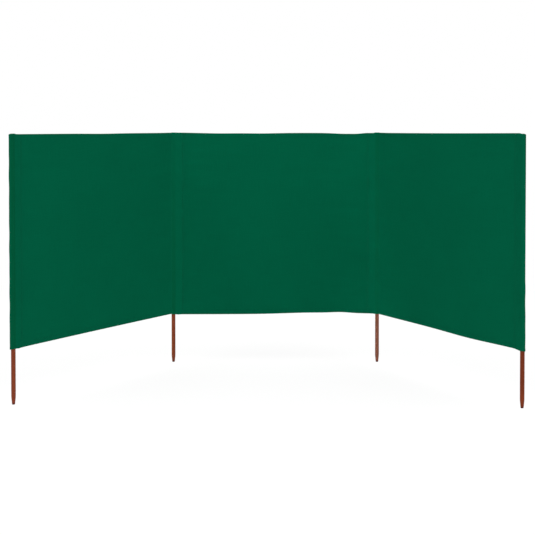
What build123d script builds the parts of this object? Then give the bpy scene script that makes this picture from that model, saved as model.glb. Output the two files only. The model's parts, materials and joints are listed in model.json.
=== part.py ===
from build123d import *
import math
import os

# Beach windbreak: three bays of cloth between four pointed poles.
# Millimetres, +Z up. The origin is at the flat point of the left inner pole, where it stands.
# The middle bay runs along +X, and the two end bays come forward, towards -Y.

os.makedirs("parts", exist_ok=True)

# Poles
pole_length = 1500.0
pole_diameter = 25.0
point_length = 43.0  # the whittled end, from the blunt point to the full diameter
point_diameter = 16.0  # at the very end, before its edge is rounded
point_shoulder = 150.0  # radius where the whittled end runs into the shaft
point_edge = 2.5
pole_top_edge = 2.0

# Cloth
bay_width = 1335.0  # from pole to pole
exposed_length = 314.0  # of each pole, below its sleeve
cloth = 1.0  # one layer, as modelled
hem_width = 28.0
sleeve_tail = 3.0  # how far a sleeve hangs below the panel beside it

# Sleeves: a loop of cloth round each pole, sewn shut beside it and across its top
sleeve_ease = 0.3  # between the pole and its sleeve
seam_reach = 56.0  # from the pole's centre to the line of stitches
seam_allowance = 12.0  # the doubled strip past the stitches
wall_gap = 0.4  # what is left between the two walls where they meet
outer_slack = 5.0  # how far the end sleeves' folded edge stands off their poles
ridge_height = 4.0  # of the seam across a sleeve's top, above the pole

# Folds between the bays
fold_gap = 0.3  # between a sleeve and the edge of the bay that swings round it
left_fold_angle = 53.5  # forward from the line of the middle bay
right_fold_angle = 59.5

# Worked out
pole_radius = pole_diameter / 2
point_radius = point_diameter / 2
sleeve_bore = pole_radius + sleeve_ease
sleeve_radius = sleeve_bore + cloth
sleeve_height = pole_length - exposed_length
doubled = 2 * cloth + wall_gap  # two walls of a sleeve where they meet
panel_bottom = exposed_length + sleeve_tail
panel_height = pole_length + ridge_height - panel_bottom
sewn_edge = seam_reach + seam_allowance  # where a panel starts beside a sleeve
swung_edge = sleeve_radius + fold_gap  # where the doubled edge of a swinging bay starts


def heading(angle):
    """The level direction that is turned by this angle from +X."""
    return Vector(math.cos(math.radians(angle)), math.sin(math.radians(angle)), 0)


def plan(foot, angle):
    """A level plane at the ground, with its x along a bay."""
    return Plane(origin=foot, x_dir=heading(angle), z_dir=(0, 0, 1))


def draw_loop(wall, slack):
    """Draws a sleeve's loop seen from above, with a wall this thick round the space inside.
    The two walls leave the round of the pole as tangents and meet at the stitches.
    With slack they also run to a folded edge, that far past the pole."""
    end_radius = wall_gap / 2 + wall
    Circle(sleeve_bore + wall)
    with Locations((seam_reach, 0)):
        Circle(end_radius)
    if slack > 0:
        with Locations((-(sleeve_bore + slack - wall_gap / 2), 0)):
            Circle(end_radius)
    make_hull()


# Where the poles stand, and the way from each to the middle of the bay that its sleeve belongs to
left_bay_angle = 180 + left_fold_angle
right_bay_angle = -right_fold_angle
left_inner_foot = Vector(0, 0, 0)
right_inner_foot = left_inner_foot + heading(0) * bay_width
left_outer_foot = left_inner_foot + heading(left_bay_angle) * bay_width
right_outer_foot = right_inner_foot + heading(right_bay_angle) * bay_width
pole_plans = {
    "left_outer": plan(left_outer_foot, left_bay_angle - 180),
    "left_inner": plan(left_inner_foot, 0),
    "right_inner": plan(right_inner_foot, 180),
    "right_outer": plan(right_outer_foot, right_bay_angle + 180),
}
# An end sleeve is slack. An inner one is round, because a bay swings round it
sleeve_slack = {
    "left_outer": outer_slack,
    "left_inner": 0,
    "right_inner": 0,
    "right_outer": outer_slack,
}

# Each bay's plan, and how far from its first pole the cloth of its panel starts and ends
swung_start = swung_edge + seam_allowance
bays = {
    "left": (plan(left_inner_foot, left_bay_angle), swung_start, bay_width - sewn_edge),
    "middle": (plan(left_inner_foot, 0), sewn_edge, bay_width - sewn_edge),
    "right": (plan(right_inner_foot, right_bay_angle), swung_start, bay_width - sewn_edge),
}

# Poles, turned from round stock and whittled to a blunt point
for place, ground in pole_plans.items():
    side_view = Plane(origin=ground.origin, x_dir=ground.x_dir, z_dir=-ground.y_dir)
    with BuildPart() as pole:
        with BuildSketch(side_view) as profile:
            with BuildLine():
                Polyline(
                    (0, 0),
                    (point_radius, 0),
                    (pole_radius, point_length),
                    (pole_radius, pole_length),
                    (0, pole_length),
                    close=True,
                )
            make_face()
            fillet(profile.vertices().group_by(Axis.Y)[1], point_shoulder)
            fillet(profile.vertices().group_by(Axis.Y)[0].sort_by(Axis.X)[-1], point_edge)
            fillet(profile.vertices().group_by(Axis.Y)[-1].sort_by(Axis.X)[-1], pole_top_edge)
        revolve(axis=Axis(ground.origin, (0, 0, 1)))
    pole.part.label = f"pole_{place}"
    export_step(pole.part, f"parts/pole_{place}.step")

# Sleeves, open below
for place, ground in pole_plans.items():
    with BuildPart() as sleeve:
        with BuildSketch(ground.offset(exposed_length)):
            draw_loop(cloth, sleeve_slack[place])
            with Locations((seam_reach + seam_allowance / 2, 0)):
                Rectangle(seam_allowance, doubled)
            with BuildSketch(mode=Mode.SUBTRACT):
                draw_loop(0, sleeve_slack[place])
        extrude(amount=sleeve_height)
    sleeve.part.label = f"sleeve_{place}"
    export_step(sleeve.part, f"parts/sleeve_{place}.step")

# Sleeve tops, which rest on the poles: the walls lean together to the ridge where they are sewn
for place, ground in pole_plans.items():
    end_view = Plane(origin=ground.origin, x_dir=ground.y_dir, z_dir=ground.x_dir)
    with BuildPart() as sleeve_top:
        with BuildSketch(ground.offset(pole_length)):
            draw_loop(cloth, sleeve_slack[place])
            with Locations((seam_reach + seam_allowance / 2, 0)):
                Rectangle(seam_allowance, doubled)
        extrude(amount=ridge_height)
        with BuildSketch(end_view):
            with BuildLine():
                Polyline(
                    (-sleeve_radius, pole_length),
                    (sleeve_radius, pole_length),
                    (sleeve_radius, pole_length + cloth),
                    (doubled / 2, pole_length + ridge_height),
                    (-doubled / 2, pole_length + ridge_height),
                    (-sleeve_radius, pole_length + cloth),
                    close=True,
                )
            make_face()
        extrude(amount=sewn_edge, both=True, mode=Mode.INTERSECT)
    sleeve_top.part.label = f"sleeve_top_{place}"
    export_step(sleeve_top.part, f"parts/sleeve_top_{place}.step")

# Panels and the hems that are turned back behind them
for bay, (ground, start, end) in bays.items():
    middle = (start + end) / 2
    with BuildPart() as panel:
        with BuildSketch(ground.offset(panel_bottom)):
            with Locations((middle, 0)):
                Rectangle(end - start, cloth)
        extrude(amount=panel_height)
    panel.part.label = f"panel_{bay}"
    export_step(panel.part, f"parts/panel_{bay}.step")

    # The back of every bay faces away from the shelter
    back = cloth if bay != "left" else -cloth
    for edge, hem_bottom in (
        ("top", panel_bottom + panel_height - hem_width),
        ("bottom", panel_bottom),
    ):
        with BuildPart() as hem:
            with BuildSketch(ground.offset(hem_bottom)):
                with Locations((middle, back)):
                    Rectangle(end - start, cloth)
            extrude(amount=hem_width)
        hem.part.label = f"{edge}_hem_{bay}"
        export_step(hem.part, f"parts/{edge}_hem_{bay}.step")

# The doubled edges where the end bays are sewn to the inner sleeves
for bay in ("left", "right"):
    ground = bays[bay][0]
    with BuildPart() as doubled_edge:
        with BuildSketch(ground.offset(panel_bottom)):
            with Locations((swung_edge + seam_allowance / 2, 0)):
                Rectangle(seam_allowance, doubled)
        extrude(amount=panel_height)
    doubled_edge.part.label = f"fold_edge_{bay}"
    export_step(doubled_edge.part, f"parts/fold_edge_{bay}.step")
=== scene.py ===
# %% [markdown]
# # A beach windbreak
# A windbreak is a run of cloth bays with a pole in a sleeve between each two. The poles are pushed into
# the ground and the end bays are swung forward, for shelter. Its whole look is taut cloth: a plain
# colour, turned hems, sleeves sewn round the poles, rows of stitches, and very shallow folds.
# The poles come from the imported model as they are. The cloth of that model is stiff and plain, so each
# piece of it is made again here, in its own place, as thin cloth.

import json
import math
from dataclasses import dataclass

import bpy
import numpy as np
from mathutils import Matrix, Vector


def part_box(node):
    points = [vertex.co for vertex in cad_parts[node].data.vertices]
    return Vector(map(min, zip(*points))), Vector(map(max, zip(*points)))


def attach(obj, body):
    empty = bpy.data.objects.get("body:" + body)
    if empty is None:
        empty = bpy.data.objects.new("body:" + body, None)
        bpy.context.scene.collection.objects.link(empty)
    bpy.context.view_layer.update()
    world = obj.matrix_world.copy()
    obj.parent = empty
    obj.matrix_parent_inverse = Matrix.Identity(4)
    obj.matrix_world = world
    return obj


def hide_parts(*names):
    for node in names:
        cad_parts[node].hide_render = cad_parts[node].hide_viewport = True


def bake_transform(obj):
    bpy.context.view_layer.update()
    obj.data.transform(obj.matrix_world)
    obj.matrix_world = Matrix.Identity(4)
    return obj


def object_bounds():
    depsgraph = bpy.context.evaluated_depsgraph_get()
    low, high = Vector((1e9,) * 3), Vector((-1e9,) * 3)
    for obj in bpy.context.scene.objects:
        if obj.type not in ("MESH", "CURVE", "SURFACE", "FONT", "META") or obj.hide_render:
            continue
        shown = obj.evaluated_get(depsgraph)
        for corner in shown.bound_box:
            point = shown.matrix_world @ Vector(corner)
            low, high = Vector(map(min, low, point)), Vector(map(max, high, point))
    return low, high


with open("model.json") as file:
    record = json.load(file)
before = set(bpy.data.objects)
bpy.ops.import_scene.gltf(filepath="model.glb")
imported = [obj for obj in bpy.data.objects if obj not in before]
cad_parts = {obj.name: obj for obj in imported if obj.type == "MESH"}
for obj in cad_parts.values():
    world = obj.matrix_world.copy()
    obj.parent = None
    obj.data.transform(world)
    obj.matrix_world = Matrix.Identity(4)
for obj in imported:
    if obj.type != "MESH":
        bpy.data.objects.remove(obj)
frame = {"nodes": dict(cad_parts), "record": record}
cad_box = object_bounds()
MM = 0.001
print("pieces in the packed model:", len(frame["nodes"]))

# %% [markdown]
# ## The camera
# The photograph was taken from about 7 m away, at the height of the top edge, a little downwards. The
# poles stay upright in it, which a camera that points down can't do by itself. So most of the framing is
# made by shifting the lens, as with a view camera, and not by tilting.

# %% The camera
PHOTO_SIDE = 535  # pixels, both ways
FOCAL_LENGTH = 1063.5  # in pixels of the photograph
HORIZON_ROW = 150.6  # the pixel row that the lens points at
CAMERA_PLACE = Vector((0.6166, -6.9482, 1.5435))
LOOKS_DOWN = math.radians(1.3)

lens = bpy.data.cameras.new("photo_camera")
lens.sensor_width = 36.0
lens.lens = FOCAL_LENGTH / PHOTO_SIDE * lens.sensor_width
lens.shift_y = (HORIZON_ROW - PHOTO_SIDE / 2) / PHOTO_SIDE
camera = bpy.data.objects.new("photo_camera", lens)
camera.location = CAMERA_PLACE
camera.rotation_euler = (math.pi / 2 - LOOKS_DOWN, 0, 0)
bpy.context.scene.collection.objects.link(camera)
bpy.context.scene.camera = camera
print("lens", round(lens.lens, 2), "mm, shifted by", round(lens.shift_y, 4))

# %% [markdown]
# ## Finishes, written as sums
# A finish is a tree of nodes, and long trees are hard to read as code. Here one output of a node is
# wrapped in a small class with the arithmetic operators, so that `1 - mask * 0.2` adds its own Math
# nodes. Every other node comes from one method, which takes its type, its settings and what goes in.

# %% Node outputs that can be used in sums
MIX_FACTOR, MIX_FIRST, MIX_SECOND, MIX_RESULT = 0, 6, 7, 2  # a colour Mix node's sockets


class Wire:
    """One output of a node, which can be added, multiplied and so on."""

    def __init__(self, finish, socket):
        self.finish = finish
        self.socket = socket

    def _sum(self, operation, first, second):
        return self.finish.node("Math", {"operation": operation}, {0: first, 1: second})

    def __add__(self, other):
        return self._sum("ADD", self, other)

    __radd__ = __add__

    def __sub__(self, other):
        return self._sum("SUBTRACT", self, other)

    def __rsub__(self, other):
        return self._sum("SUBTRACT", other, self)

    def __mul__(self, other):
        return self._sum("MULTIPLY", self, other)

    __rmul__ = __mul__

    def sine(self):
        return self.finish.node("Math", {"operation": "SINE"}, {0: self})

    def clipped(self):
        return self.finish.node("Clamp", {}, {"Value": self})


class Finish:
    """A material, or the world, that is built up node by node."""

    def __init__(self, owner):
        owner.use_nodes = True
        self.owner = owner
        self.tree = owner.node_tree
        self.tree.nodes.clear()

    def node(self, kind, settings, sockets, out=0):
        """Adds a node: first its settings, then the values or the links of its sockets."""
        made = self.tree.nodes.new("ShaderNode" + kind)
        for name, value in settings.items():
            setattr(made, name, value)
        for name, value in sockets.items():
            if isinstance(value, Wire):
                self.tree.links.new(value.socket, made.inputs[name])
            else:
                made.inputs[name].default_value = value
        return Wire(self, made.outputs[out])

    def mixed(self, factor, first, second):
        """One colour at factor 0 and the other at factor 1."""
        sockets = {MIX_FACTOR: factor, MIX_FIRST: first, MIX_SECOND: second}
        return self.node("Mix", {"data_type": "RGBA"}, sockets, out=MIX_RESULT)

    def vectors(self, operation, first, second):
        """Two vectors or colours, worked out part by part."""
        return self.node("VectorMath", {"operation": operation}, {0: first, 1: second})

    def scaled(self, vector, by):
        return self.vectors("MULTIPLY", vector, by)

    def part(self, vector, axis):
        """One part of a vector: X, Y or Z."""
        return self.node("SeparateXYZ", {}, {0: vector}, out=axis)

    def carried(self, name):
        """A value that a mesh carries on its points."""
        return self.node("Attribute", {"attribute_name": name}, {}, out="Fac")

    def noise(self, vector, detail=2.0):
        """Soft noise from about 0.25 to 0.75, in steps about as long as the vector's unit."""
        sockets = {"Vector": vector, "Scale": 1.0, "Detail": detail}
        return self.node("TexNoise", {}, sockets, out="Fac")

    def range(self, value, low, high, out_low, out_high):
        """Turns low to high into out_low to out_high, and goes no further."""
        sockets = {"Value": value, "From Min": low, "From Max": high}
        sockets.update({"To Min": out_low, "To Max": out_high})
        return self.node("MapRange", {"interpolation_type": "SMOOTHSTEP"}, sockets)

    def bumped(self, height, depth):
        """A normal for a surface whose height goes from 0 to 1 over this depth, in metres."""
        sockets = {"Height": height, "Strength": 1.0, "Distance": depth}
        return self.node("Bump", {}, sockets, out="Normal")

    def surface(self, sockets):
        """The Principled shader of this finish, straight to its output."""
        self.end_with(self.node("BsdfPrincipled", {}, sockets))
        return self.owner

    def end_with(self, shader, kind="OutputMaterial"):
        end = self.tree.nodes.new("ShaderNode" + kind)
        self.tree.links.new(shader.socket, end.inputs["Surface"])


def with_alpha(colour, factors=1.0):
    """A colour as the nodes take it, multiplied by one number or by one each for red, green and blue."""
    factors = factors if isinstance(factors, tuple) else (factors,) * 3
    return (*(part * factor for part, factor in zip(colour, factors)), 1.0)


# %% [markdown]
# ## The cloth's finish
# The cloth is a plain weave, dyed right through in one dark green, and quite matt: the photograph has no
# shine on it at all. A picture of cloth would be the quick way, but threads have a real size, so they
# are worked out here from a map in metres that every piece of cloth carries. The map runs along the
# weft and the warp. Three things vary: the crossings of the threads, the thread's own thickness, which
# leaves long thin streaks both ways, and the dye, which drifts over tens of centimetres.
# The cloth is thin, and light comes through it. A pole behind it shows as a band that is a little darker
# and warmer: the pole's own colour, and painted shade where the pole keeps that light back. Where the
# cloth lies double, it gets a little painted shade too. Two values on each mesh say where the cloth lies
# double, and where a pole shows through it.

# %% The cloth's finish
CLOTH_MAP = "cloth"
DOUBLE_SHADE = "double_shade"  # on a mesh: 1 where a second layer lies behind the cloth, which is painted a little darker as shade
POLE_SHADE = "pole_shade"  # on a mesh: 1 where a pole shows through the cloth, as painted shade and its colour
CLOTH_GREEN = (0.0003, 0.0885, 0.0420)
DARKEST, LIGHTEST = 0.8, 1.2  # as shares of that green
POLE_SHADOW_TINT = (1.7, 0.86, 0.77)  # painted shade and warm tint of a pole behind the cloth, on its red, green and blue
THREAD_PITCH = 1.1 * MM
THREAD_RELIEF = 0.12 * MM
CROSSING_RELIEF = 0.35  # the crossings' share in it. The rest is the streaks'
STREAKS, STREAK_ENDS = 420, 9  # to the metre, across the threads and along them
DRIFTS = (3.1, 3.7, 0)  # to the metre, along the weft and the warp
MID_TONE = 0.5  # noise swings about this, and so does the tone
# How much each of them lightens or darkens the cloth. The last is painted shade, where the cloth lies
# double
STREAK_TONE, DRIFT_TONE, CROSSING_TONE, DOUBLE_SHADE_TONE = 1.1, 0.3, 0.06, -0.06
CLOTH_ROUGHNESS, STREAK_ROUGHNESS = 0.86, 0.12  # the second is what the streaks add
CLOTH_SHINE = 0.01


def woven_cloth(name):
    cloth = Finish(bpy.data.materials.new(name))
    map_place = cloth.node("UVMap", {"uv_map": CLOTH_MAP}, {}, out="UV")
    turns = math.pi / THREAD_PITCH
    thread_place = cloth.scaled(map_place, (turns, turns, 0))
    crossings = cloth.part(thread_place, "X").sine() * cloth.part(thread_place, "Y").sine()
    weft_streaks = cloth.noise(cloth.scaled(map_place, (STREAK_ENDS, STREAKS, 0)))
    warp_streaks = cloth.noise(cloth.scaled(map_place, (STREAKS, STREAK_ENDS, 0)))
    streaks = (weft_streaks + warp_streaks) * 0.5
    drift = cloth.noise(cloth.scaled(map_place, DRIFTS), detail=3.0)

    tone = MID_TONE + (streaks - MID_TONE) * STREAK_TONE + (drift - MID_TONE) * DRIFT_TONE
    # painted shade where the cloth lies double, as less light comes through two layers
    tone = tone + crossings * CROSSING_TONE + cloth.carried(DOUBLE_SHADE) * DOUBLE_SHADE_TONE
    dark, light = with_alpha(CLOTH_GREEN, DARKEST), with_alpha(CLOTH_GREEN, LIGHTEST)
    dyed_and_shaded = cloth.mixed(tone.clipped(), dark, light)
    threads = crossings * CROSSING_RELIEF + streaks * (1 - CROSSING_RELIEF)
    # painted shade: where a pole stands behind, the cloth is darker and warmer
    over_pole = cloth.scaled(dyed_and_shaded, POLE_SHADOW_TINT)
    return cloth.surface({
        "Base Color": cloth.mixed(cloth.carried(POLE_SHADE), dyed_and_shaded, over_pole),
        "Roughness": CLOTH_ROUGHNESS + streaks * STREAK_ROUGHNESS,
        "Specular IOR Level": CLOTH_SHINE,
        "Normal": cloth.bumped(threads, THREAD_RELIEF),
    })


cloth_finish = woven_cloth("dark green cloth")
print("one thread every", THREAD_PITCH / MM, "mm")

# %% [markdown]
# ## The sewing thread's finish
# Thread is made of the same stuff but twisted tight, so it is a little darker and has a faint shine.

# %% The sewing thread's finish
THREAD_GREEN = (0.0010, 0.0720, 0.0345)
THREAD_DARKEST, THREAD_LIGHTEST = 0.7, 1.3
TWISTS = (1400, 1400, 1400)  # to the metre
THREAD_ROUGHNESS, THREAD_SHINE = 0.62, 0.12


def sewing_thread(name):
    thread = Finish(bpy.data.materials.new(name))
    place = thread.node("TexCoord", {}, {}, out="Object")
    twist = thread.noise(thread.scaled(place, TWISTS))
    dark, light = with_alpha(THREAD_GREEN, THREAD_DARKEST), with_alpha(THREAD_GREEN, THREAD_LIGHTEST)
    return thread.surface({
        "Base Color": thread.mixed(twist, dark, light),
        "Roughness": THREAD_ROUGHNESS,
        "Specular IOR Level": THREAD_SHINE,
    })


thread_finish = sewing_thread("dark green thread")
print("thread finish:", thread_finish.name)

# %% [markdown]
# ## The poles' finish
# The poles are turned softwood, stained red-brown all over and then left satin. Stain soaks in more
# where the wood is soft, so the yearly rings show as long darker streaks. Noise that is stretched along
# the pole gives the rings, the wider streaks where the brown turns from orange to red, and the short
# pores. The end grain of the points drinks the most, so the last centimetre is nearly black-brown.
# Each pole is another piece of wood and took the stain in its own way, so each has its own brown.

# %% The poles' finish
DARK_END = 13 * MM  # the end grain is dark up to here
DARKEST_PART, END_DARKNESS = 0.3, 0.85  # as dark as it gets over this part, and how dark that is
WOOD_RELIEF = 0.10 * MM
PORE_RELIEF, LATE_WOOD_RELIEF = 1.2, 0.2  # as shares of it
GRAIN_SHIFT = 37.0  # times a pole's place, so that no two poles have the same grain
# To the metre, across the pole and along it
RINGS, PORES, SOAKED_SPOTS, WIDE_STREAKS = (210, 3.2), (1900, 46), (30, 5), (95, 2.1)
LATE_WOOD, REDDER = (0.44, 0.60), (0.42, 0.58)  # between these levels of the noise
# How deep the stain is, and what the late wood, the pores and the soaked spots add to it
STAIN_DEPTH, LATE_WOOD_STAIN, PORE_STAIN, SOAKED_STAIN = 0.30, 0.34, 0.5, 0.9
WOOD_ROUGHNESS, PORE_ROUGHNESS, WOOD_SHINE = 0.52, 0.22, 0.14
# What the stain makes of a pole's own brown
ORANGE, RED = (1.30, 1.36, 1.05), (1.22, 1.02, 1.45)
DEEP, END_GRAIN = (0.62, 0.56, 0.60), (0.34, 0.22, 0.40)


def stained_wood(name, foot, brown):
    wood = Finish(bpy.data.materials.new(name))
    from_foot = wood.vectors("SUBTRACT", wood.node("TexCoord", {}, {}, out="Object"), foot)
    own_place = wood.vectors("ADD", from_foot, foot * GRAIN_SHIFT)

    def grain(to_the_metre, detail=2.0):
        across, along = to_the_metre
        return wood.noise(wood.scaled(own_place, (across, across, along)), detail)

    pores = grain(PORES, detail=1.0)
    late_wood = wood.range(grain(RINGS, detail=4.0), *LATE_WOOD, 0.0, 1.0)
    redness = wood.range(grain(WIDE_STREAKS), *REDDER, 0.0, 1.0)
    soaked = (pores - MID_TONE) * PORE_STAIN + (grain(SOAKED_SPOTS) - MID_TONE) * SOAKED_STAIN
    depth_of_stain = STAIN_DEPTH + late_wood * LATE_WOOD_STAIN + soaked
    light_stain = wood.mixed(redness, with_alpha(brown, ORANGE), with_alpha(brown, RED))
    stained = wood.mixed(depth_of_stain.clipped(), light_stain, with_alpha(brown, DEEP))
    up = wood.part(from_foot, "Z")
    at_end = wood.range(up, DARK_END * DARKEST_PART, DARK_END, END_DARKNESS, 0.0)
    relief = MID_TONE + (pores - MID_TONE) * PORE_RELIEF - late_wood * LATE_WOOD_RELIEF
    return wood.surface({
        "Base Color": wood.mixed(at_end, stained, with_alpha(brown, END_GRAIN)),
        "Roughness": WOOD_ROUGHNESS + pores * PORE_ROUGHNESS,
        "Specular IOR Level": WOOD_SHINE,
        "Normal": wood.bumped(relief, WOOD_RELIEF),
    })


print("the end grain is dark up to", round(DARK_END / MM), "mm")

# %% [markdown]
# ## Where the bays stand
# Everything below is placed along a bay: how far from the bay's first pole, how far in front of the
# cloth, and how high. The feet of the poles are the model's mounts, and where a panel starts and ends is
# measured on the model's own panels. So nothing here is fitted by eye, and a changed model is followed.

# %% Where the bays stand
feet = {}
for mount in frame["record"]["mounts"]:
    feet[mount["name"].removeprefix("tip_")] = Vector(mount["pos_m"])


@dataclass
class Bay:
    """One bay, from its first pole to its second. The front is the sheltered side."""

    name: str
    foot: np.ndarray
    along: np.ndarray
    front: np.ndarray
    width: float
    start: float = 0.0
    end: float = 0.0

    @property
    def body(self):
        return f"{self.name}_bay"

    @property
    def mirrored(self):
        """Whether its front is to the left of its course, so that a grid along it faces the back."""
        return self.name == "left"

    def share(self, far):
        """A distance along the bay, as a share of its panel."""
        return (far - self.start) / (self.end - self.start)

    def reach(self, node):
        """The nearest and the farthest that a node of the model gets from the first pole."""
        foot, along = Vector(self.foot), Vector(self.along)
        far = [(corner.co - foot).dot(along) for corner in frame["nodes"][node].data.vertices]
        return min(far), max(far)

    def spot(self, far, proud, high):
        """Points at these distances along the bay, in front of its middle plane, and up."""
        far, proud, high = (part[..., None] for part in np.broadcast_arrays(far, proud, high))
        return self.foot + far * self.along + proud * self.front + high * np.array((0, 0, 1.0))

    def measure(self, points):
        """How far along the bay points lie, and how far in front of its plane."""
        return (points - self.foot) @ self.along, (points - self.foot) @ self.front


def lay_out(name, first, second, turn):
    """A bay between two poles, with its front to the left of its course (1) or to the right (-1)."""
    course = feet[second] - feet[first]
    along = course.normalized()
    front = turn * Vector((-along.y, along.x, 0))
    bay = Bay(name, *map(np.array, (feet[first], along, front)), course.length)
    bay.start, bay.end = bay.reach(f"panel_{name}")
    return bay


bays = {
    "left": lay_out("left", "left_inner", "left_outer", 1),
    "middle": lay_out("middle", "left_inner", "right_inner", -1),
    "right": lay_out("right", "right_inner", "right_outer", -1),
}
cloth_bottom, cloth_top = (corner.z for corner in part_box("panel_middle"))
hem_low, hem_high = (corner.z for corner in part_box("top_hem_middle"))
hem_width = hem_high - hem_low


def up_share(high):
    """A height, as a share of the cloth's."""
    return (high - cloth_bottom) / (cloth_top - cloth_bottom)


for bay in bays.values():
    print(bay.name, "bay:", round(bay.width, 3), "m, its panel", round(bay.end - bay.start, 3), "m")

# %% [markdown]
# ## From points to thin cloth
# Each piece of cloth is a grid of points in its middle surface. It could be left as a single layer, but
# then it has no edge, and it is no real solid for anyone who takes the mesh. So the grid gets a
# thickness: a copy of it moves to each side, along the surface's own normal, and the rim between them is
# closed. Each piece also carries a map in metres and two values for its finish.

# %% Meshes from grids of points
SHARP_FROM = math.radians(48)  # edges that bend by more than this stay sharp


def new_object(name, points, faces, finish):
    mesh = bpy.data.meshes.new(name)
    mesh.from_pydata(points, [], faces)
    mesh.materials.append(finish)
    made = bpy.data.objects.new(name, mesh)
    bpy.context.scene.collection.objects.link(made)
    return made


def add_piece(name, points, faces, finish, body=None):
    """A smooth mesh of these points and faces. It moves with one body, if it is given one."""
    piece = new_object(name, points.tolist(), faces, finish)
    mesh = piece.data
    mesh.polygons.foreach_set("use_smooth", np.ones(len(mesh.polygons), dtype=bool))
    mesh.set_sharp_from_angle(angle=SHARP_FROM)
    if body is not None:
        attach(piece, body)
    return piece


def map_cloth(piece, cloth_map, double_shade=0.0, pole_shade=0.0):
    """Gives a piece its map in metres and its two values, one for each point of its grid."""
    mesh = piece.data
    layers = len(mesh.vertices) // (cloth_map.size // 2)  # 2 where there is a front and a back
    corners = np.zeros(len(mesh.loops), dtype=np.int32)
    mesh.loops.foreach_get("vertex_index", corners)
    on_points = np.tile(cloth_map.reshape(-1, 2), (layers, 1))
    layer = mesh.uv_layers.new(name=CLOTH_MAP)
    layer.data.foreach_set("uv", on_points[corners].astype(np.float32).ravel())
    for name, value in ((DOUBLE_SHADE, double_shade), (POLE_SHADE, pole_shade)):
        attribute = mesh.attributes.new(name, "FLOAT", "POINT")
        on_grid = np.broadcast_to(np.asarray(value, dtype=np.float32), cloth_map.shape[:2])
        attribute.data.foreach_set("value", np.tile(on_grid.ravel(), layers))


print("edges stay sharp from", round(math.degrees(SHARP_FROM)), "degrees")

# %% [markdown]
# One helper makes a whole sheet in this way. The normal at a point comes from the points next to it in
# both directions, which numpy works out for the whole grid at once. The other helpers here place the
# points: close together where a form is small, and eased where one form runs into the next.

# %% Closed sheets of cloth
def outward(grid):
    """The unit normal of a surface at each point of its grid."""
    normal = np.cross(np.gradient(grid, axis=1), np.gradient(grid, axis=0))
    return normal / np.linalg.norm(normal, axis=2, keepdims=True)


def thick_cloth(grid, front_half, back_half):
    """Points and faces of a closed sheet that goes this far to the front and the back of a grid."""
    rows, columns = grid.shape[:2]
    normal = outward(grid)
    front = grid + normal * front_half[..., None]
    back = grid - normal * back_half[..., None]
    points = np.concatenate((front.reshape(-1, 3), back.reshape(-1, 3)))

    index = np.arange(rows * columns).reshape(rows, columns)
    corners = (index[:-1, :-1], index[:-1, 1:], index[1:, 1:], index[1:, :-1])
    squares = np.stack(corners, axis=-1).reshape(-1, 4)
    behind = squares[:, ::-1] + rows * columns
    rim = np.concatenate((index[0, :], index[1:, -1], index[-1, -2::-1], index[-2:0:-1, 0]))
    onward = np.roll(rim, -1)
    edge = np.stack((rim, rim + rows * columns, onward + rows * columns, onward), axis=-1)
    return points, np.concatenate((squares, behind, edge)).tolist()


def cloth_piece(name, body, grid, cloth_map, halves, turned=False, double_shade=0.0, pole_shade=0.0):
    """A closed sheet of cloth round a grid, with its map. A grid that runs the other way is turned
    round, so that its front still faces out."""
    values = [np.broadcast_to(value, grid.shape[:2]) for value in (*halves, double_shade, pole_shade)]
    if turned:
        grid, cloth_map, *values = (part[:, ::-1] for part in (grid, cloth_map, *values))
    front_half, back_half, double_shade, pole_shade = values
    points, faces = thick_cloth(grid, front_half, back_half)
    piece = add_piece(name, points, faces, cloth_finish, body)
    map_cloth(piece, cloth_map, double_shade, pole_shade)
    return piece


def map_of(across, up):
    """The map of a grid: how far across and up the cut cloth each point lies."""
    return np.stack(np.broadcast_arrays(across, up), axis=-1)


def ways(angles):
    """The directions of these angles, seen from above."""
    return np.stack((np.cos(angles), np.sin(angles)), axis=-1)


def eased(share):
    """A share from 0 to 1, without corners at its ends."""
    share = np.clip(share, 0, 1)
    return share * share * (3 - 2 * share)


def graded(start, end, fine, coarse, band):
    """Places from start to end, close together in a band at each end and wider between."""
    ends = np.arange(0, band, fine)
    steps = int(round((end - start - 2 * band) / coarse))
    middle = np.linspace(start + band, end - band, steps + 1)
    return np.concatenate((start + ends, middle, (end - ends)[::-1]))


print("each sheet carries", CLOTH_MAP, DOUBLE_SHADE, POLE_SHADE)

# %% [markdown]
# ## How the cloth hangs
# Cloth that is pulled between two poles is nearly flat, and the photograph shows almost nothing but its
# outline. What is left of the making is small: a shallow belly in the middle, low ridges that run from
# sleeve to sleeve along the pull, most of them close to the seams, and a pucker along each hem, where
# the stitches draw the cloth together. A cloth simulation would find the belly, but not these ridges,
# unless its grid was as fine as the stitches. A sum of waves whose starting points come from a seed
# gives them, and it gives the same cloth every time.

# %% How far the cloth stands in front of its plane
BAY_SEEDS = {"left": 410, "middle": 520, "right": 630}
BELLY = 6 * MM
BELLY_FULLNESS = 0.9  # below 1 the belly starts closer to the seams
BELLY_AT_EDGES = 0.65  # of it, along the top and the bottom edge
RIDGE_FADE = 250 * MM  # the ridges fade over this distance from a seam
PUCKER_FADE = 26 * MM
SEAM_FADE = 30 * MM  # and all of the cloth lies flat this near to a seam
# Waves: their lengths along and up in metres, and how high they stand together
DRIFT_WAVES = ((1.1, 1.6, 0.8), (0.9, 0.5, 1.4), 1.3 * MM)
RIDGE_WAVES = ((2.5, 3.5, 2.0, 3.0), (0.11, 0.17, 0.075, 0.24), 3.0 * MM)
PUCKER_WAVES = ((0.5, 0.4, 0.6), (0.034, 0.047, 0.029), 1.1 * MM)  # turned: they run along a hem


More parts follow.
